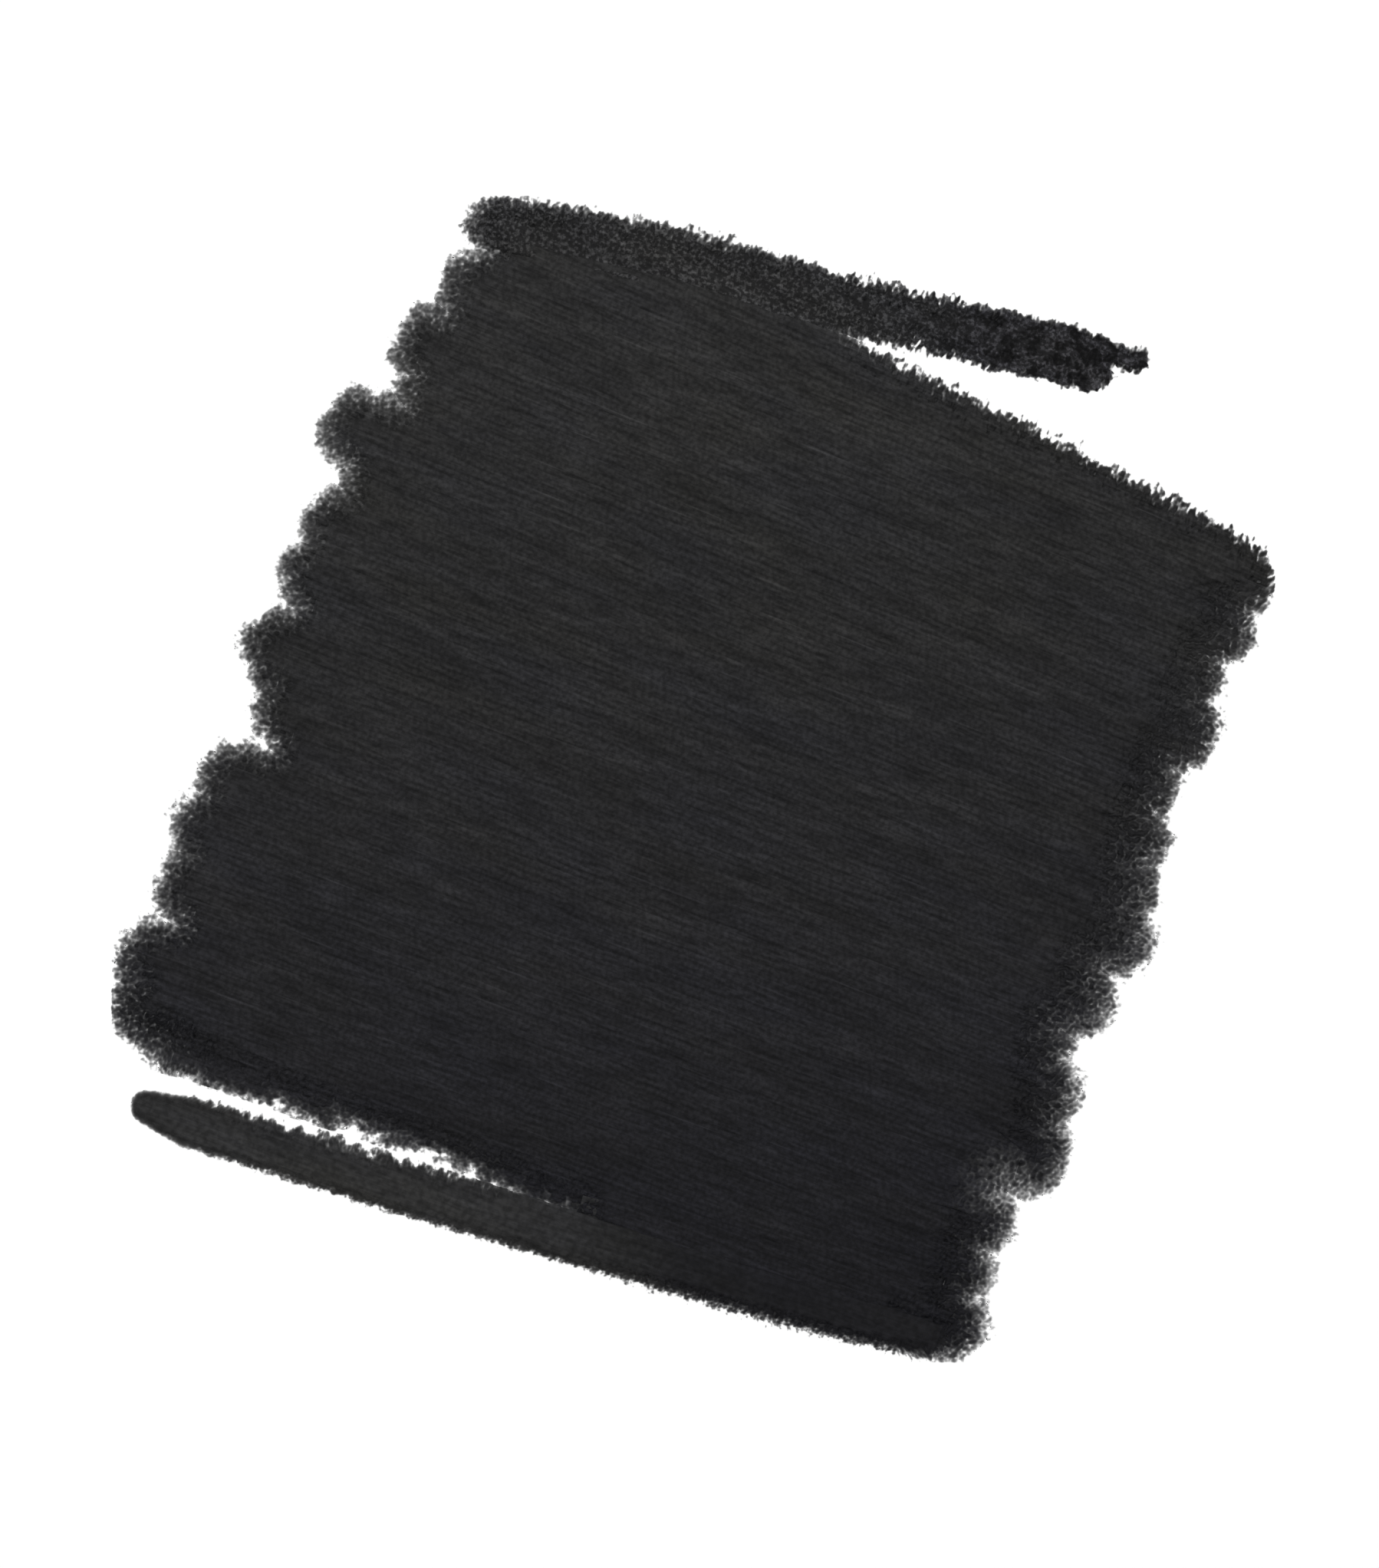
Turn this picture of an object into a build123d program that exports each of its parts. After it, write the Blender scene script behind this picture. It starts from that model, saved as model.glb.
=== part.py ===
"""Crayon scribble: the film of black pigmented wax that one unbroken back-and-forth scribble leaves.

Each piece is one stroke: what the crayon lays between two reversals of the hand, with the round
turn where it swings about at its far end. Every margin is feathered, and each stroke laps over the
feathered margin of the stroke before, so it is cut to seat on the wax that is already there.

Units are millimetres. The paper side is the plane z = 0, and +Z points away from the paper. The
origin is the middle of the scribble's outline, on the paper side.
"""

import os
from math import atan, degrees

from build123d import *

os.makedirs("parts", exist_ok=True)

# The film that one stroke leaves
stroke_width = 3.0  # contact width of the crayon's rounded point
opening_width = 3.0
closing_width = 2.65  # the closing stroke is let go
film_thickness = 0.3  # build-up of wax
margin_width = 0.6  # feathered margin all round a stroke, from full film down to bare paper

# The route of the hand. Falls and rises are the slopes of strokes, in degrees
opening_length = 32.8  # from the free end at the upper right to the first left turn
opening_fall = 12.9
first_length = 44.5  # from the first left turn to the first right turn
first_fall = 25.8
left_advance = 3.04  # how far down the hand moves from one left turn to the next
left_drift = 1.37  # and how far to the left
right_advance = 2.89
right_drift = 1.14
closing_length = 42.5  # from the last right turn to where the crayon starts to lift off
closing_rise = 14.9
corner_pitch = 0.3  # the tight first turn: how far apart its two strokes run

# How far each turn strays from that even spacing, along X and Y, from top to bottom
left_strays = [
    (0, 0),
    (0.65, -0.75),
    (-0.7, -0.75),
    (0.85, -0.15),
    (-1.95, 0.9),
    (0.5, 1.25),
    (-0.35, 1.5),
    (0.1, 2),
    (-0.5, 1),
    (1.5, 0.6),
    (-0.25, -0.3),
    (-0.45, 0.45),
    (0.3, 0.25),
    (-0.75, -0.8),
    (0, 0),
]
right_strays = [
    (0, 0),
    (-0.15, 0.35),
    (-0.7, 0.75),
    (0.1, 0.6),
    (-0.9, 0.75),
    (-0.3, 0.65),
    (0.3, 0.65),
    (1.05, 1),
    (-0.05, 0.65),
    (-0.9, 0.9),
    (0.6, 1.05),
    (0.95, 0.75),
    (-0.85, 0.2),
    (-0.75, 0.3),
    (0.05, 0.05),
]

# How far a stroke rises above its chord at the middle
opening_bow = 0
top_bow = 0.75  # the first stroke of the field; the bow then eases evenly
bottom_bow = -0.4  # the last stroke of the field
closing_bow = -0.3
straight_enough = 0.01  # a stroke that bows less than this is drawn straight

# The narrow tongue at the free end of the opening stroke, where the point's edge touched down
tongue_width = 1.1
tongue_reach = 2.6  # how far it runs past the centre of the round end
tongue_offset = 0.6  # above the stroke's centre line
tongue_margin = 0.3

# The tapered tail at the free end of the closing stroke, where the crayon lifts off
tail_width = 1.7
tail_reach = 2.5
tail_offset = 0.2  # above the stroke's centre line

# The route's points: free end, left turn, right turn, left turn, ..., free end
first_left = Vector(0, 0)
first_right = Vector(first_length, 0).rotate(Axis.Z, -first_fall)
route = [first_left + Vector(opening_length, 0).rotate(Axis.Z, -opening_fall)]
for j, (left_stray, right_stray) in enumerate(zip(left_strays, right_strays)):
    route.append(first_left + Vector(-j * left_drift, -j * left_advance) + Vector(left_stray))
    route.append(first_right + Vector(-j * right_drift, -j * right_advance) + Vector(right_stray))
route.append(route[-1] + Vector(-closing_length, 0).rotate(Axis.Z, -closing_rise))
first_turn, last_turn = 1, len(route) - 2
last_stroke = last_turn


def inward(i):
    """Direction from turn or free end i towards the field, half way between its strokes."""
    neighbours = [route[k] for k in (i - 1, i + 1) if 0 <= k < len(route)]
    return (sum(neighbours, Vector()) / len(neighbours) - route[i]).normalized()


def upward(i):
    """Direction along the chord of turn i, from its later stroke to its earlier one."""
    return inward(i).rotate(Axis.Z, 90 if i % 2 else -90)


def spacing(i):
    """Distance between turn i and the next turn on the same side, across the strokes."""
    return abs((route[i] - route[i + 2]).dot(upward(i)))


def pitch(i):
    """How far apart the two strokes of turn i run: half way to its neighbours' strokes."""
    if i in (0, len(route) - 1):
        return 0
    if i == first_turn:
        return corner_pitch
    neighbours = [spacing(k) for k in (i - 2, i) if first_turn <= k and k + 2 <= last_turn]
    return sum(neighbours) / len(neighbours) / 2


def width(n):
    """Width of stroke n on the paper."""
    if n == 0:
        return opening_width
    return closing_width if n == last_stroke else stroke_width


def bow(n):
    """Rise of stroke n above its chord: the hand's arc, up at the top and down at the bottom."""
    if n == 0:
        return opening_bow
    if n == last_stroke:
        return closing_bow
    return top_bow + (bottom_bow - top_bow) * (n - 1) / (last_stroke - 2)


def turn_radius(i):
    """Outer radius of turn or free end i on the paper, swung by the stroke that it belongs to."""
    return (pitch(i) + width(max(i - 1, 0))) / 2


# Bring the middle of the outline to the origin
turns = range(first_turn, last_turn + 1)
outline_low = Vector(
    min(route[i].X - turn_radius(i) for i in turns),
    min(route[i].Y - turn_radius(i) for i in turns),
)
outline_high = Vector(
    max(route[i].X + turn_radius(i) for i in turns),
    max(route[i].Y + turn_radius(i) for i in turns),
)
route = [point - (outline_low + outline_high) / 2 for point in route]


def run_outline(n, inset, height):
    """Outline of stroke n's run at one height: two bowed sides between its end chords."""
    # Each chord is as wide as the stroke that swings the turn there
    start_reach = upward(n) * (width(max(n - 1, 0)) / 2 - inset)
    finish_reach = upward(n + 1) * (width(n) / 2 - inset)
    start = (route[n] - upward(n) * (pitch(n) / 2), start_reach)
    finish = (route[n + 1] + upward(n + 1) * (pitch(n + 1) / 2), finish_reach)
    left_chord, right_chord = (start, finish) if n % 2 else (finish, start)
    (left_end, left_reach), (right_end, right_reach) = left_chord, right_chord
    with BuildSketch(Plane.XY.offset(height)) as outline:
        with BuildLine():
            for side in (1, -1):
                side_ends = left_end + left_reach * side, right_end + right_reach * side
                if abs(bow(n)) < straight_enough:
                    Line(*side_ends)
                else:
                    SagittaArc(*side_ends, bow(n))
            for end, reach in (left_chord, right_chord):
                Line(end - reach, end + reach)
        make_face()
    return outline.sketch


def margin_section(i):
    """Section of turn or free end i, from its centre out to the feathered margin."""
    centre, outward, radius = route[i], -inward(i), turn_radius(i)
    with BuildSketch(Plane(centre, x_dir=outward.rotate(Axis.Z, 90), z_dir=outward)) as section:
        with BuildLine():
            Polyline(
                (0, 0),
                (radius, 0),
                (radius - margin_width, film_thickness),
                (0, film_thickness),
                close=True,
            )
        make_face()
    return section.sketch


def swung_ends(n):
    """The turn or free ends that stroke n swings round; the closing stroke has a tail instead."""
    if n == 0:
        return [0, first_turn]
    return [] if n == last_stroke else [n + 1]


def tail_outline(inset, height):
    """Outline of the closing stroke's tapered tail at one height: a hull of two round ends."""
    along, up = -inward(last_turn + 1), upward(last_turn + 1)
    centre = route[last_turn + 1]
    with BuildSketch(Plane.XY.offset(height)) as outline:
        with Locations(centre):
            Circle(closing_width / 2 - inset)
        with Locations(centre + along * tail_reach + up * tail_offset):
            Circle(tail_width / 2 - inset)
        make_hull()
        split(bisect_by=Plane(centre, z_dir=along))
    return outline.sketch


strokes_laid = []

for n in range(last_stroke + 1):
    with BuildPart() as stroke:
        # The run: its sides slope in from the paper to the top of the film
        loft([run_outline(n, 0, 0), run_outline(n, margin_width, film_thickness)], ruled=True)

        # The turn at its far end, and the free end where the scribble starts
        for i in swung_ends(n):
            revolve(margin_section(i), axis=Axis(route[i], (0, 0, -1)), revolution_arc=180)

        if n == 0:
            # The tongue leaves the round end near the stroke's upper margin
            tongue_root = route[0] + upward(0) * tongue_offset
            with BuildSketch(Plane(tongue_root, x_dir=-inward(0), z_dir=(0, 0, 1))):
                with Locations((tongue_reach / 2, 0)):
                    SlotCenterToCenter(tongue_reach, tongue_width)
            extrude(amount=film_thickness, taper=degrees(atan(tongue_margin / film_thickness)))

        if n == last_stroke:
            loft([tail_outline(0, 0), tail_outline(margin_width, film_thickness)], ruled=True)

        # The lap: seat this stroke on the wax laid before it
        for earlier in strokes_laid[-3:]:
            add(earlier, mode=Mode.SUBTRACT)

    if n == 0:
        name = "opening_stroke"
    elif n == last_stroke:
        name = "closing_stroke"
    else:
        name = f"stroke_{n:02d}"
    stroke.part.label = name
    export_step(stroke.part, f"parts/{name}.step")
    strokes_laid.append(stroke.part)
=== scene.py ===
import math

import bpy
import numpy as np
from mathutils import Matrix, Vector, kdtree
from mathutils.bvhtree import BVHTree


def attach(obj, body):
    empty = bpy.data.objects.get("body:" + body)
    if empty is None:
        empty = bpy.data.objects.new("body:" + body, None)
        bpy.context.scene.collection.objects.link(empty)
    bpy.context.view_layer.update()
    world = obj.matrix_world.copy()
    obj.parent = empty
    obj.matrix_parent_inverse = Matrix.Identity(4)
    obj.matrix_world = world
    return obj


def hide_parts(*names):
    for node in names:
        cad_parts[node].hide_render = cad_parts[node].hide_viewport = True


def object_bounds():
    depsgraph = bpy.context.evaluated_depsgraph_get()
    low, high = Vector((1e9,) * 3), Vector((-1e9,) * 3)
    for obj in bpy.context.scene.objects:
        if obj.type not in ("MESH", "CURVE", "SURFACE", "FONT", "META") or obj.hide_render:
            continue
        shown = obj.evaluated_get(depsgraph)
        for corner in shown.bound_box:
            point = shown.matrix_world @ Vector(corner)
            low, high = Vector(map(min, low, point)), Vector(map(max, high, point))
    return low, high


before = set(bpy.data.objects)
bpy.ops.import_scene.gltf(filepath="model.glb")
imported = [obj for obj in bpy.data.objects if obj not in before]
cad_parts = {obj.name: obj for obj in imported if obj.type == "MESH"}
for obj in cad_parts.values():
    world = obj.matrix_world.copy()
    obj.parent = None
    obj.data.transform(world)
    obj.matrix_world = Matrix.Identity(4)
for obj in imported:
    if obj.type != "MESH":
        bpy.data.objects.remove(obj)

cad_low, cad_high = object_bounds()

# ---------------------------------------------------------------------------------------------
# Opening stroke
# The first pass of the crayon: a film of black pigmented wax that begins in a short tongue and
# swings round to the left. It was pressed on hard, so its upper edge is torn into crisp clumps
# by the tooth of the paper, and clumps of deeper black gather at its starting end.
# ---------------------------------------------------------------------------------------------

MM = 0.001
same_height = 1e-6  # heights nearer to each other than this, in metres, are the same
stroke_names = ["opening_stroke"] + [f"stroke_{n:02d}" for n in range(1, 30)] + ["closing_stroke"]


def solid_of(names):
    """The solids of these strokes, for looking down on them from above."""
    corners, faces = [], []
    for name in names:
        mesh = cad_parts[name].data
        first = len(corners)
        corners += [v.co.copy() for v in mesh.vertices]
        faces += [[first + i for i in p.vertices] for p in mesh.polygons]
    return BVHTree.FromPolygons(corners, faces)


def height_on(solid, x, y):
    """How high the solid stands at this place, or below the paper where there is none."""
    hit = solid.ray_cast(Vector((x, y, 0.01)), Vector((0, 0, -1)))[0]
    return hit.z if hit else -1.0


def paper_edges(name):
    """The stroke's outline on the paper: the edges that only one face of its underside has."""
    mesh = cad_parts[name].data
    seen = {}
    for face in mesh.polygons:
        corners = [mesh.vertices[i].co for i in face.vertices]
        if max(c.z for c in corners) < same_height:
            for i in range(3):
                a, b, third = corners[i], corners[(i + 1) % 3], corners[(i + 2) % 3]
                key = tuple(sorted(((round(a.x, 6), round(a.y, 6)), (round(b.x, 6), round(b.y, 6)))))
                seen.setdefault(key, []).append((a, b, third))
    return [edges[0] for edges in seen.values() if len(edges) == 1]


# the margin: places along those outlines that have bare paper beside them, in mm
margin_spacing, beside_by = 0.05, 0.03
film = solid_of(stroke_names)
margin_owner, margin_place, margin_out = [], [], []
for n, name in enumerate(stroke_names):
    for a, b, third in paper_edges(name):
        along = b - a
        outward = Vector((along.y, -along.x, 0)).normalized()
        if outward.dot(third - a) > 0:
            outward = -outward
        steps = max(1, math.ceil(along.length / (margin_spacing * MM)))
        for k in range(steps):
            place = a + along * ((k + 0.5) / steps)
            beside = place + outward * (beside_by * MM)
            if height_on(film, beside.x, beside.y) < 0:
                margin_owner.append(n)
                margin_place.append((place.x / MM, place.y / MM))
                margin_out.append((outward.x, outward.y))
margin_owner = np.array(margin_owner)
margin_place = np.array(margin_place)
margin_out = np.array(margin_out)
margin = kdtree.KDTree(len(margin_place))
for i, (x, y) in enumerate(margin_place):
    margin.insert((x * MM, y * MM, 0), i)
margin.balance()


def ease(t):
    """0 up to 0, 1 from 1 on, and a smooth step in between."""
    t = np.clip(t, 0.0, 1.0)
    return t * t * (3 - 2 * t)


lattice = np.random.RandomState(5).permutation(256)


def tooth(x, y, size, seed):
    """Smooth random bumps about one unit high and half of size wide, for places in mm."""
    u, v = x / size, y / size
    i, j = np.floor(u).astype(int), np.floor(v).astype(int)
    u, v = u - i, v - j
    ease_u = u ** 3 * (u * (u * 6 - 15) + 10)
    ease_v = v ** 3 * (v * (v * 6 - 15) + 10)
    total = 0.0
    for a in (0, 1):
        for b in (0, 1):
            turn = lattice[(lattice[(i + a + seed) & 255] + j + b) & 255] * (math.tau / 256)
            slope = np.cos(turn) * (u - a) + np.sin(turn) * (v - b)
            total = total + slope * (ease_u if a else 1 - ease_u) * (ease_v if b else 1 - ease_v)
    return total / 0.25


veil_depth = 0.045  # in mm: through a film this thick, hardly any paper shows
veil_strength = 3.43  # and exp(-3.43), or 3 in 100, of the paper is what still shows
shades_reach = 32  # the shades are given within this many mm of the middle
elbow = (1.0, -0.392, 0)  # where the arm that drew the strokes turned, in metres
arm_length = 1.07


def wax_finish(name, axis, shades, streak_and_sheen, mottle, glint_strength, grain, clumps=0.0):
    """Black crayon wax: its shade follows stops of (mm, colour) along one axis, it is streaked
    along the strokes, partly in its own tone and partly with painted sheen, and it is greyer where
    it is so thin that paper shows. grain is how fine its mottled clouds are, mottle gives the four
    ends that they are spread between, and glint_strength is how bright its painted highlights are."""
    material = bpy.data.materials.new(name)
    material.use_nodes = True
    nodes, links = material.node_tree.nodes, material.node_tree.links
    shader = nodes["Principled BSDF"]
    shader.inputs["Roughness"].default_value = 0.62
    shader.inputs["Specular IOR Level"].default_value = 0.08

    def node(kind, **settings):
        made = nodes.new(kind)
        for key, value in settings.items():
            if key in made.inputs:
                made.inputs[key].default_value = value
            else:
                setattr(made, key, value)
        return made

    def product(one, other):
        """Two values multiplied."""
        made = node("ShaderNodeMath", operation="MULTIPLY")
        links.new(one, made.inputs[0])
        links.new(other, made.inputs[1])
        return made.outputs[0]

    def spread(value, *ends):
        """The value, carried from between the first two ends to between the last two."""
        made = node("ShaderNodeMapRange")
        for socket, end in zip(("From Min", "From Max", "To Min", "To Max"), ends):
            made.inputs[socket].default_value = end
        links.new(value, made.inputs["Value"])
        return made.outputs["Result"]

    place = node("ShaderNodeTexCoord")
    place_parts = node("ShaderNodeSeparateXYZ")
    links.new(place.outputs["Object"], place_parts.inputs[0])

    ramp = node("ShaderNodeValToRGB")
    stops = ramp.color_ramp.elements
    stops[0].color, stops[1].color = (*shades[0][1], 1), (*shades[-1][1], 1)
    for position, colour in shades:
        stops.new(position / (2 * shades_reach) + 0.5).color = (*colour, 1)
    ramp_place = spread(place_parts.outputs[axis], -shades_reach * MM, shades_reach * MM, 0, 1)
    links.new(ramp_place, ramp.inputs["Fac"])

    # streaks fan out round the elbow, far to the right
    from_elbow = node("ShaderNodeVectorMath", operation="SUBTRACT")
    from_elbow.inputs[1].default_value = elbow
    links.new(place.outputs["Object"], from_elbow.inputs[0])
    radius = node("ShaderNodeVectorMath", operation="LENGTH")
    links.new(from_elbow.outputs["Vector"], radius.inputs[0])
    elbow_parts = node("ShaderNodeSeparateXYZ")
    links.new(from_elbow.outputs["Vector"], elbow_parts.inputs[0])
    leftward = node("ShaderNodeMath", operation="MULTIPLY")
    leftward.inputs[1].default_value = -1
    links.new(elbow_parts.outputs["X"], leftward.inputs[0])
    swing = node("ShaderNodeMath", operation="ARCTAN2")
    links.new(elbow_parts.outputs["Y"], swing.inputs[0])
    links.new(leftward.outputs[0], swing.inputs[1])
    swing_length = node("ShaderNodeMath", operation="MULTIPLY")
    swing_length.inputs[1].default_value = arm_length
    links.new(swing.outputs[0], swing_length.inputs[0])
    drawn = node("ShaderNodeCombineXYZ")
    links.new(radius.outputs["Value"], drawn.inputs["X"])
    links.new(swing_length.outputs[0], drawn.inputs["Y"])

    def drawn_lines(length, scale, detail, offset):
        """Noise drawn out along the strokes to length times its width."""
        stretch = node("ShaderNodeMapping")
        stretch.inputs["Location"].default_value = (offset, offset, 0)
        stretch.inputs["Scale"].default_value = (1 / length, 1, 1)
        links.new(drawn.outputs["Vector"], stretch.inputs["Vector"])
        lines = node("ShaderNodeTexNoise", Scale=scale, Detail=detail)
        links.new(stretch.outputs["Vector"], lines.inputs["Vector"])
        return lines.outputs["Fac"]

    def clouds(scale, detail):
        """Noise as wide as it is long."""
        made = node("ShaderNodeTexNoise", Scale=scale, Detail=detail)
        links.new(place.outputs["Object"], made.inputs["Vector"])
        return made.outputs["Fac"]

    # the streaks along the strokes: partly the wax's own tone, partly painted sheen where their furrows
    # catch the light
    fine_lines = drawn_lines(length=11, scale=5200, detail=3, offset=0)
    broad_lines = drawn_lines(length=8, scale=900, detail=2, offset=0.1)
    fine = spread(fine_lines, 0.3, 0.7, 1 - streak_and_sheen, 1 + streak_and_sheen)
    broad = spread(broad_lines, 0.3, 0.7, 1 - 0.5 * streak_and_sheen, 1 + 0.5 * streak_and_sheen)
    shading = product(product(fine, broad), spread(clouds(grain, 3), *mottle))

    # clumps of deeper black gather towards the starting end
    if clumps:
        gathering = spread(place_parts.outputs["X"], 10.5 * MM, 17.5 * MM, 0, 1)
        clumped = node("ShaderNodeMath", operation="MULTIPLY_ADD")
        links.new(spread(clouds(1500, 2), 0.43, 0.55, -clumps, 0.7 * clumps), clumped.inputs[0])
        links.new(gathering, clumped.inputs[1])
        clumped.inputs[2].default_value = 1
        shading = product(shading, clumped.outputs[0])

    # patches of it lean to blue, others to brown
    patches = drawn_lines(length=3, scale=340, detail=2, offset=0.3)
    leaning = node("ShaderNodeMix", data_type="RGBA")
    leaning.inputs["A"].default_value = (1.025, 1.01, 0.965, 1)
    leaning.inputs["B"].default_value = (0.98, 0.985, 1.05, 1)
    links.new(spread(patches, 0.3, 0.7, 0, 1), leaning.inputs["Factor"])
    tinted = node("ShaderNodeMix", data_type="RGBA", blend_type="MULTIPLY")
    tinted.inputs["Factor"].default_value = 1
    links.new(ramp.outputs["Color"], tinted.inputs["A"])
    links.new(leaning.outputs["Result"], tinted.inputs["B"])

    # painted highlights: a few long lines along the strokes are lightened as if they caught the light
    glint_lines = drawn_lines(length=28, scale=4500, detail=1, offset=0.2)
    lit = node("ShaderNodeMath", operation="ADD")
    links.new(shading, lit.inputs[0])
    links.new(spread(glint_lines, 0.66, 0.80, 0, glint_strength), lit.inputs[1])
    wax_colour = node("ShaderNodeMix", data_type="RGBA", blend_type="MULTIPLY")
    wax_colour.inputs["Factor"].default_value = 1
    links.new(tinted.outputs["Result"], wax_colour.inputs["A"])
    links.new(lit.outputs[0], wax_colour.inputs["B"])

    # the thinner the wax, the more of the paper shows through it
    thinness = node("ShaderNodeMath", operation="MULTIPLY")
    thinness.inputs[1].default_value = -veil_strength / (veil_depth * MM)
    links.new(place_parts.outputs["Z"], thinness.inputs[0])
    veil = node("ShaderNodeMath", operation="EXPONENT", use_clamp=True)
    links.new(thinness.outputs[0], veil.inputs[0])
    shown = node("ShaderNodeMix", data_type="RGBA")
    shown.inputs["B"].default_value = (0.95, 0.95, 0.95, 1)
    links.new(veil.outputs[0], shown.inputs["Factor"])
    links.new(wax_colour.outputs["Result"], shown.inputs["A"])
    links.new(shown.outputs["Result"], shader.inputs["Base Color"])

    # the streaks are shallow furrows as well
    furrows = node("ShaderNodeBump")
    furrows.inputs["Strength"].default_value = 0.25
    furrows.inputs["Distance"].default_value = 0.02 * MM
    links.new(fine_lines, furrows.inputs["Height"])
    links.new(furrows.outputs["Normal"], shader.inputs["Normal"])
    return material


# How a margin looks, with lengths in mm:
#   steep, shift    how fast the wax covers the paper going inwards, and how far in that begins,
#                   or outside the margin where shift is negative
#   tail, onward    how soon that slows down, and how fast it goes on from there
#   soft            how much of the cover stays thin enough to look grey
#   tear, torn_in   strength of the paper's tooth at the edge, and further in
#   reach           how far in the tooth ends
#   grain, curl     width of its grains, and how much they turn into curled lines
#   smear           how far the grains are drawn out, square to the edge or along lean_x, lean_y
#   sway, clump     how far the edge wanders, in clumps of this width
#   rim, thin       height of the film at the edge, and how far in it is full
crisp_edge = dict(steep=5.6, shift=-0.04, tail=9.0, onward=0.0, soft=1.25, tear=0.82, torn_in=0.82,
                  grain=0.27, curl=0.0, smear=0.09, lean_x=0.35, lean_y=0.94, sway=0.10, clump=1.05,
                  rim=0.09, thin=1.3, reach=1.8)
soft_turn = dict(steep=3.8, shift=-0.31, tail=3.9, onward=0.2, soft=2.05, tear=0.48, torn_in=0.80,
                 grain=0.27, curl=0.35, smear=0.03, lean_x=0.0, lean_y=0.0, sway=0.14, clump=1.4,
                 rim=0.07, thin=1.8, reach=1.9)


def blend(one, other, place, start, end):
    """One look up to start, the other from end on, and a mixture in between."""
    share = float(np.clip((place - start) / (end - start), 0, 1))
    return {key: one[key] + (other[key] - one[key]) * share for key in one}


def gather(looks):
    """A list of looks, one for each place of the margin, as one look with arrays."""
    return {key: np.array([one[key] for one in looks]) for key in looks[0]}


def heights_on(solid, spots):
    """How high the solid stands at each of these places."""
    return np.array([height_on(solid, x, y) for x, y, z in spots])


# the sheet of cells that a stroke is laid with, and the film that it becomes, in mm
cell_along, cell_across = 0.48, 0.10
sheet_overhang = 1.3  # how far the sheet reaches past the solid
fringe = 1.2  # how far past the stroke's own margin its cells are kept
full_height = 0.272  # of the film, well inside its margin
top_height = 0.299  # furrows and grains end here, just under the top of the solid
lap_drop = 0.02  # how much lower the film lies where a neighbour laps over it
box_margin = 0.02  # places nearer than this to the sides of the part's own box stay bare


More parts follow.
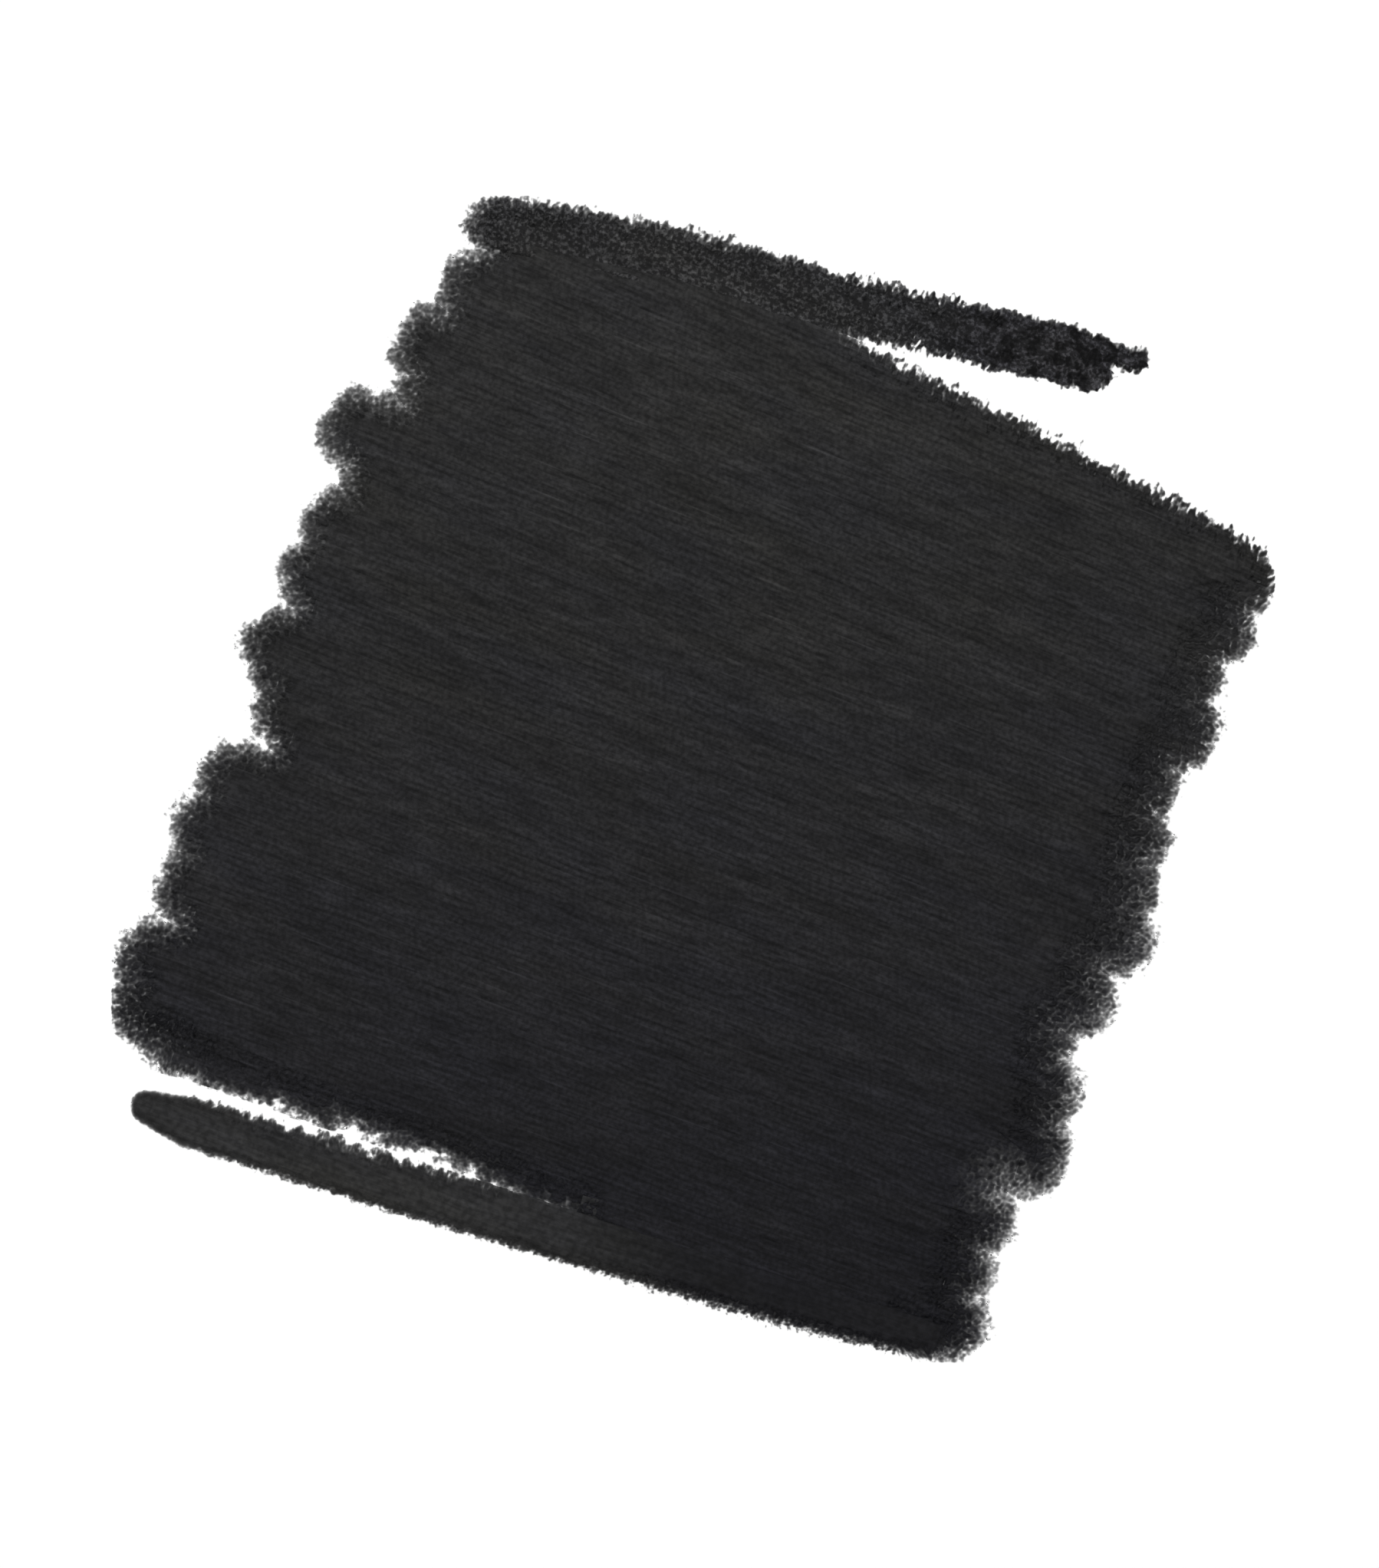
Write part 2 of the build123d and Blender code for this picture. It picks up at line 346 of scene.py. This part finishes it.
def lay_stroke(name, look, material):
    """One stroke of the crayon, laid where its solid is, as a film with a torn margin."""
    n = stroke_names.index(name)
    solid = solid_of([name])
    corners = np.array([v.co[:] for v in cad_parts[name].data.vertices])
    left, right = corners[corners[:, 0].argmin()], corners[corners[:, 0].argmax()]
    angle = math.atan2(right[1] - left[1], right[0] - left[0])
    ahead = np.array([math.cos(angle), math.sin(angle)])
    side = np.array([-ahead[1], ahead[0]])
    extent = np.stack([corners[:, :2] @ ahead, corners[:, :2] @ side], 1)
    low, high = extent.min(0) - sheet_overhang * MM, extent.max(0) + sheet_overhang * MM
    centre = ahead * (low[0] + high[0]) / 2 + side * (low[1] + high[1]) / 2

    # a sheet of cells as long as the stroke
    bpy.ops.object.select_all(action="DESELECT")
    bpy.ops.mesh.primitive_grid_add(
        x_subdivisions=round((high[0] - low[0]) / (cell_along * MM)),
        y_subdivisions=round((high[1] - low[1]) / (cell_across * MM)),
        size=1, location=(centre[0], centre[1], 0), rotation=(0, 0, angle))
    sheet = bpy.context.object
    sheet.name = sheet.data.name = "wax_" + name
    sheet.scale = (high[0] - low[0], high[1] - low[1], 1)
    bpy.ops.object.transform_apply(location=True, rotation=True, scale=True)

    def measured():
        """The sheet's corners, the place of the margin nearest to each, and how far off it is."""
        spots = np.empty(len(sheet.data.vertices) * 3)
        sheet.data.vertices.foreach_get("co", spots)
        spots = spots.reshape(-1, 3)
        near = [margin.find((x, y, 0)) for x, y, z in spots]
        return spots, np.array([k[1] for k in near]), np.array([k[2] for k in near]) / MM

    def work_on(kind, chosen, operator, **settings):
        """Select these edges or faces of the sheet alone, and use the operator on them."""
        bpy.context.tool_settings.mesh_select_mode = (False, kind == "EDGE", kind == "FACE")
        bpy.ops.object.mode_set(mode="EDIT")
        bpy.ops.mesh.select_all(action="DESELECT")
        bpy.ops.object.mode_set(mode="OBJECT")
        parts = sheet.data.edges if kind == "EDGE" else sheet.data.polygons
        parts.foreach_set("select", chosen)
        bpy.ops.object.mode_set(mode="EDIT")
        operator(**settings)
        bpy.ops.object.mode_set(mode="OBJECT")

    # only the cells on the stroke, or just outside its own margin, are kept
    spots, index, gap = measured()
    keep = (heights_on(solid, spots) > 0) | ((gap < fringe) & (margin_owner[index] == n))
    faces = np.array([p.vertices[:] for p in sheet.data.polygons])
    work_on("FACE", ~keep[faces].any(1), bpy.ops.mesh.delete, type="FACE")

    # near bare paper the cells are cut crosswise, then halved both ways, to carry the grain
    spots, index, gap = measured()
    close = gap < look["reach"][index]
    ends = np.array([e.vertices[:] for e in sheet.data.edges])
    run = spots[ends[:, 1], :2] - spots[ends[:, 0], :2]
    long_edges = (np.abs(run @ ahead) > np.abs(run @ side)) & close[ends].any(1)
    work_on("EDGE", long_edges, bpy.ops.mesh.subdivide,
            number_cuts=3, quadcorner="STRAIGHT_CUT", ngon=False)
    spots, index, gap = measured()
    close = gap < look["reach"][index] * 0.9
    fine_cells = [close[list(p.vertices)].all() for p in sheet.data.polygons]
    work_on("FACE", fine_cells, bpy.ops.mesh.subdivide, number_cuts=1, ngon=False)

    # how far inside the margin each place is, which way the margin lies, and how it looks there
    spots, index, gap = measured()
    own, all_films = heights_on(solid, spots), heights_on(film, spots)
    inside = all_films > 0
    depth_in = np.where(inside, gap, -gap)
    x, y = spots[:, 0] / MM, spots[:, 1] / MM
    here = {key: value[index] for key, value in look.items()}
    out = np.stack([x, y], 1) - margin_place[index]
    out = np.where(inside[:, None], -out, out) + 0.1 * margin_out[index]
    out /= np.maximum(np.linalg.norm(out, axis=1), 1e-6)[:, None]
    leaning = here["lean_y"] > 0
    smear_x = np.where(leaning, here["lean_x"], out[:, 0]) * here["smear"]
    smear_y = np.where(leaning, here["lean_y"], out[:, 1]) * here["smear"]

    # the tooth of the paper: smeared grains in two sizes, or curled lines, each with its own seed
    grain = here["grain"]
    grains = sum(tooth(x + k * smear_x, y + k * smear_y, grain, 0)
                 + 0.7 * tooth(x + k * smear_x, y + k * smear_y, grain * 0.52, 40)
                 for k in (-1, 0, 1)) / 2.6
    curls = (np.abs(tooth(x, y, grain * 1.5, 170)) - 0.8) / 0.6
    curls = curls + 0.4 * tooth(x, y, grain * 0.6, 10)
    torn = (1 - here["curl"]) * grains + here["curl"] * curls
    torn = torn * (here["tear"] + (here["torn_in"] - here["tear"]) * ease(depth_in / 0.9))
    torn = torn * (1 - ease((depth_in - 0.6 * here["reach"]) / (0.4 * here["reach"])))
    wander = 0.8 * tooth(x, y, here["clump"], 90) + 0.6 * tooth(x, y, here["clump"] * 0.5, 60)

    # how well the wax covers the paper: near the part's own box its edge wanders less and draws
    # back by up to 0.28 mm, and within 0.14 mm of the box hardly any wax holds
    room = np.minimum.reduce([spots[:, 0] - cad_low.x, cad_high.x - spots[:, 0],
                              spots[:, 1] - cad_low.y, cad_high.y - spots[:, 1]]) / MM
    inward = (depth_in - here["shift"] - 0.28 * np.clip(1 - room / 1.7, 0, 1)
              + here["sway"] * ease(room / 1.2) * wander)
    slowing = here["tail"] * (1 - np.exp(-here["steep"] * np.maximum(inward, 0) / here["tail"]))
    covered = np.where(inward > 0, slowing + here["onward"] * inward, here["steep"] * inward)
    covered = covered + torn
    covered = covered - 4 * (1 - ease(room / 0.14))

    # the film thickens slowly while paper shows through it, then faster, up to its full height,
    # where shallow furrows run along the stroke
    soft = here["soft"]
    rising = veil_depth * covered / soft + 0.06 * np.maximum(covered - 1.6 * soft, 0)
    full = here["rim"] + (full_height - here["rim"]) * ease(depth_in / here["thin"])
    u, v = spots[:, :2] @ ahead / MM, spots[:, :2] @ side / MM
    furrow = 0.012 * tooth(u / 9, v, 0.42, 150) + 0.006 * tooth(u / 5, v, 0.25, 200)
    z = np.minimum(rising, full + 0.02 * torn + furrow * ease(depth_in / 0.8))
    z = np.minimum(z, top_height)

    # it lies a little lower where a neighbour laps over it, lower still where it runs on under
    # the neighbour, and stops at the part's own box
    foreign = (inside & (own < all_films - same_height)) | (~inside & (margin_owner[index] != n))
    z = np.where(foreign, z - lap_drop, z)
    under_neighbour = inside & (own < 0) & (gap > 0.4)
    z = np.where(under_neighbour, z - np.minimum(0.07, 0.35 * z), z)
    z = np.where(room < box_margin, -0.3, z)
    z = np.where(np.abs(z) < 1e-4, 1e-4, z)  # no corner lies exactly on the paper
    spots[:, 2] = z * MM
    sheet.data.vertices.foreach_set("co", spots.reshape(-1))
    sheet.data.update()

    # trim at the paper, then close the underside
    bpy.ops.object.mode_set(mode="EDIT")
    bpy.ops.mesh.select_all(action="SELECT")
    bpy.ops.mesh.bisect(plane_co=(0, 0, 0), plane_no=(0, 0, 1), clear_inner=True, threshold=1e-9)
    bpy.ops.mesh.select_all(action="SELECT")
    bpy.ops.mesh.extrude_region_move(TRANSFORM_OT_translate={"value": (0, 0, 0)})
    bpy.ops.transform.resize(value=(1, 1, 0), center_override=(0, 0, 0))
    bpy.ops.mesh.select_all(action="SELECT")
    bpy.ops.mesh.remove_doubles(threshold=1e-8)
    bpy.ops.mesh.normals_make_consistent(inside=False)
    bpy.ops.object.mode_set(mode="OBJECT")
    bpy.ops.object.shade_smooth_by_angle(angle=math.radians(60))
    sheet.data.materials.append(material)
    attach(sheet, "root")
    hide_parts(name)


left_top = dict(crisp_edge, steep=5.8, shift=-0.46, soft=1.7)
start_top = dict(crisp_edge, steep=8.0, shift=-0.05, tear=0.6)
start_foot = dict(crisp_edge, steep=8.0, shift=-0.26, soft=1.15, tear=0.55, smear=0.04, sway=0.07)
upper_slit_end = 7  # mm along X
upper_slit_tear = ((upper_slit_end, upper_slit_end + 2.5), (0.25, 0.82))
opening_looks = []
for x, out_y in zip(margin_place[:, 0], margin_out[:, 1]):
    if x > 3 and out_y < -0.5:  # the lower edge, which closes the slit above the field
        slit_edge = dict(
            crisp_edge, steep=4.2, soft=1.15, sway=0.12, tear=np.interp(x, *upper_slit_tear),
            shift=np.interp(x, (upper_slit_end, 8.6, 12.5), (-0.80, -0.43, -0.28)))
        opening_looks.append(blend(slit_edge, start_foot, x, 13, 17))
    elif x < 3:  # the turn, and the softer left of the upper edge
        opening_looks.append(blend(soft_turn, left_top, x, -14, -5))
    elif x < 12:  # the middle of the upper edge
        opening_looks.append(blend(left_top, crisp_edge, x, 3, 8))
    else:  # the right of the upper edge, and the starting end
        opening_looks.append(blend(crisp_edge, start_top, x, 14, 18))
# the wax turns darker and bluer towards its starting end
opening_wax = wax_finish("opening_stroke_wax", "X", (
    (12.5, (0.0168, 0.0168, 0.0170)), (15.5, (0.0126, 0.0126, 0.0140)), (18, (0.0122, 0.0122, 0.0138))),
    streak_and_sheen=0.40, mottle=(0.47, 0.75, 0.60, 3.8), glint_strength=0.5, grain=5200, clumps=0.75)
lay_stroke("opening_stroke", gather(opening_looks), opening_wax)

# ---------------------------------------------------------------------------------------------
# Strokes of the field
# Twenty-nine passes of the same crayon, to and fro, each lapped over the soft margin of the one
# before. The wax fades out softly round the left-hand turns and is thin and speckled with paper
# round the right-hand ones. The first stroke's upper edge and the last one's lower edge are torn.
# ---------------------------------------------------------------------------------------------

speckled_turn = dict(soft_turn, steep=4.1, shift=-0.26, tail=3.3, onward=0.24, soft=1.8, tear=0.60,
                     torn_in=1.05, grain=0.26, curl=0.65, sway=0.13, thin=3.6, reach=3.8)
greyer_turn = dict(speckled_turn, steep=3.6, shift=-0.38, onward=0.3, soft=2.2)
darker_turn = dict(speckled_turn, steep=3.1, shift=-0.27, tail=5.0, onward=0.3, soft=2.1, tear=0.5,
                   sway=0.10)
rubbed_turn = dict(darker_turn, shift=-0.35, tail=0.75, onward=0.9, torn_in=0.7)
rubbed_patch = (17.8, -22.0)  # its middle, in mm
lowest_turn = dict(soft_turn, shift=-0.40, tail=3.0, onward=0.3, soft=1.9, tear=0.52, torn_in=1.0,
                   sway=0.10, reach=3.0)
upper_edge = dict(crisp_edge, steep=4.5, tail=12.0, soft=1.35, sway=0.13)
lower_edge = dict(crisp_edge, steep=4.4, tail=5.5, onward=0.2, soft=2.0, tear=0.60, torn_in=0.66,
                  grain=0.29, curl=0.45, lean_x=0.0, lean_y=0.0, smear=0.0, sway=0.20, clump=1.3,
                  reach=2.4)
field_looks = []
for x, y in margin_place:
    if x > -9 and y > 9:  # the upper edge, which rises to close the slit below the opening stroke
        raised = dict(upper_edge, tear=np.interp(x, *upper_slit_tear),
                      shift=np.interp(x, (upper_slit_end, 8.6, 12.5), (-0.80, -0.40, -0.17)))
        field_looks.append(blend(speckled_turn, raised, y, 9, 12))
    elif y < -14 and -30 < x < 10:  # the lower edge, which hangs down at both ends of its slit
        lowered = np.interp(x, (-30, -28.5, -27, -25, -22.5, -19, -15, -10.8, -8.7),
                            (-0.55, -0.95, -1.05, -0.95, -0.75, -0.28, -0.02, -0.26, -0.85))
        lowest, lower = dict(lowest_turn, shift=lowered), dict(lower_edge, shift=lowered)
        field_looks.append(blend(lowest, lower, x, -29, -26))
    elif x < 0:  # the left-hand turns
        field_looks.append(blend(lowest_turn, soft_turn, y, -12, -7))
    elif y > -9:  # the upper right-hand turns
        field_looks.append(blend(greyer_turn, speckled_turn, y, -5, -1))
    else:  # the lower right-hand turns, one of them rubbed thin
        turned = blend(darker_turn, greyer_turn, y, -17, -14)
        from_patch = math.dist((x, y), rubbed_patch)
        field_looks.append(blend(rubbed_turn, turned, from_patch, 0.96, 2.56))
field_looks = gather(field_looks)
# the wax lies deeper and bluer towards the last strokes
field_wax = wax_finish("field_stroke_wax", "Y", (
    (-30, (0.0068, 0.0068, 0.0085)), (-20, (0.0090, 0.0090, 0.0106)), (-12, (0.0116, 0.0116, 0.0131)),
    (0, (0.0138, 0.0138, 0.0146)), (12, (0.0157, 0.0157, 0.0158)), (24, (0.0186, 0.0186, 0.0186))),
    streak_and_sheen=0.47, mottle=(0.38, 0.62, 0.70, 1.30), glint_strength=0.9, grain=4200)
for name in stroke_names[1:-1]:
    lay_stroke(name, field_looks, field_wax)

# ---------------------------------------------------------------------------------------------
# Closing stroke
# The last pass, drawn out slowly to the left along the foot of the field to a blunt tapered end.
# Its wax is dense and even, its lower edge is almost clean, and fine hairs stand on its upper one.
# ---------------------------------------------------------------------------------------------

clean_edge = dict(crisp_edge, steep=9.5, shift=-0.11, tail=16.0, soft=1.7, tear=0.42, torn_in=0.2,
                  grain=0.24, lean_x=0.0, lean_y=0.0, smear=0.0, sway=0.05, clump=0.7, rim=0.12,
                  thin=0.6, reach=0.9)
blunt_end = dict(clean_edge, steep=11.0, shift=-0.08, tear=0.15, sway=0.02)
softer_edge = dict(clean_edge, steep=10.0, shift=-0.19, soft=2.8, tear=0.8, torn_in=0.5)
hairy_edge = dict(crisp_edge, steep=7.0, tail=12.0, soft=1.9, tear=0.62, torn_in=0.3,
                  grain=0.20, lean_x=0.2, lean_y=0.98, smear=0.07, sway=0.16, clump=0.9, reach=1.2)
closing_looks = []
for x, out_y in zip(margin_place[:, 0], margin_out[:, 1]):
    if x > 5:  # towards the last turn
        closing_looks.append(blend(softer_edge, darker_turn, x, 11, 15))
    elif out_y > 0.3:  # the upper edge, which rises to close the slit below the field
        hairs_up = dict(hairy_edge, shift=np.interp(x, (-16, -10.8, -8.7), (-0.16, -0.28, -0.70)))
        closing_looks.append(blend(blunt_end, hairs_up, x, -28, -24))
    elif x < -20:  # the blunt end, and the left of the lower edge
        closing_looks.append(blend(blunt_end, clean_edge, x, -28, -24))
    else:  # the rest of the lower edge
        closing_looks.append(blend(clean_edge, softer_edge, x, -6, -2))
# it is laid more thinly, and so greyer, once it leaves the field
closing_wax = wax_finish("closing_stroke_wax", "X", (
    (-7, (0.0198, 0.0198, 0.0198)), (-3.5, (0.0130, 0.0130, 0.0132)), (-0.5, (0.0078, 0.0078, 0.0090)),
    (4, (0.0066, 0.0066, 0.0081)), (12, (0.0080, 0.0080, 0.0095))),
    streak_and_sheen=0.30, mottle=(0.38, 0.62, 0.74, 1.26), glint_strength=0.1, grain=3000)
lay_stroke("closing_stroke", gather(closing_looks), closing_wax)

# ---------------------------------------------------------------------------------------------
# Paper, light and camera
# A plain sheet of white paper under soft studio light, seen from straight above.
# ---------------------------------------------------------------------------------------------

# the paper lies just below the film
bpy.ops.object.select_all(action="DESELECT")
bpy.ops.mesh.primitive_plane_add(size=1.2, location=(0, 0, -0.00001))
floor = bpy.context.object
floor.name = "paper_floor"
paper = bpy.data.materials.new("white_paper")
paper.use_nodes = True
paper_shader = paper.node_tree.nodes["Principled BSDF"]
paper_shader.inputs["Base Color"].default_value = (0.98, 0.98, 0.98, 1)
paper_shader.inputs["Roughness"].default_value = 0.9
paper_shader.inputs["Specular IOR Level"].default_value = 0.1
floor.data.materials.append(paper)

world = bpy.data.worlds.new("soft_studio")
bpy.context.scene.world = world
world.use_nodes = True
world.node_tree.nodes["Background"].inputs["Color"].default_value = (1, 1, 1, 1)
world.node_tree.nodes["Background"].inputs["Strength"].default_value = 0.58

bpy.ops.object.light_add(type="AREA", location=(-0.06, 0.12, 0.60))
lamp = bpy.context.object
lamp.name = "softbox"
lamp.data.shape = "SQUARE"
lamp.data.size = 0.5
lamp.data.energy = 2.2
lamp.rotation_euler = (Vector((0, 0, 0)) - lamp.location).to_track_quat("-Z", "Y").to_euler()

# the view is taller than wide, so its height is what the sensor's size stands for
view_height = 85.2 * MM
film_thickness = 0.3 * MM
bpy.ops.object.camera_add()
camera = bpy.context.object
camera.name = "camera"
camera.data.lens = 100
camera.data.sensor_width = 36
distance = view_height * camera.data.lens / camera.data.sensor_width
camera.location = (-0.20 * MM, -0.26 * MM, distance + film_thickness)
camera.rotation_euler = (0, 0, 0)
camera.data.clip_start = 0.01
bpy.context.scene.camera = camera
bpy.context.scene.view_settings.view_transform = "Standard"
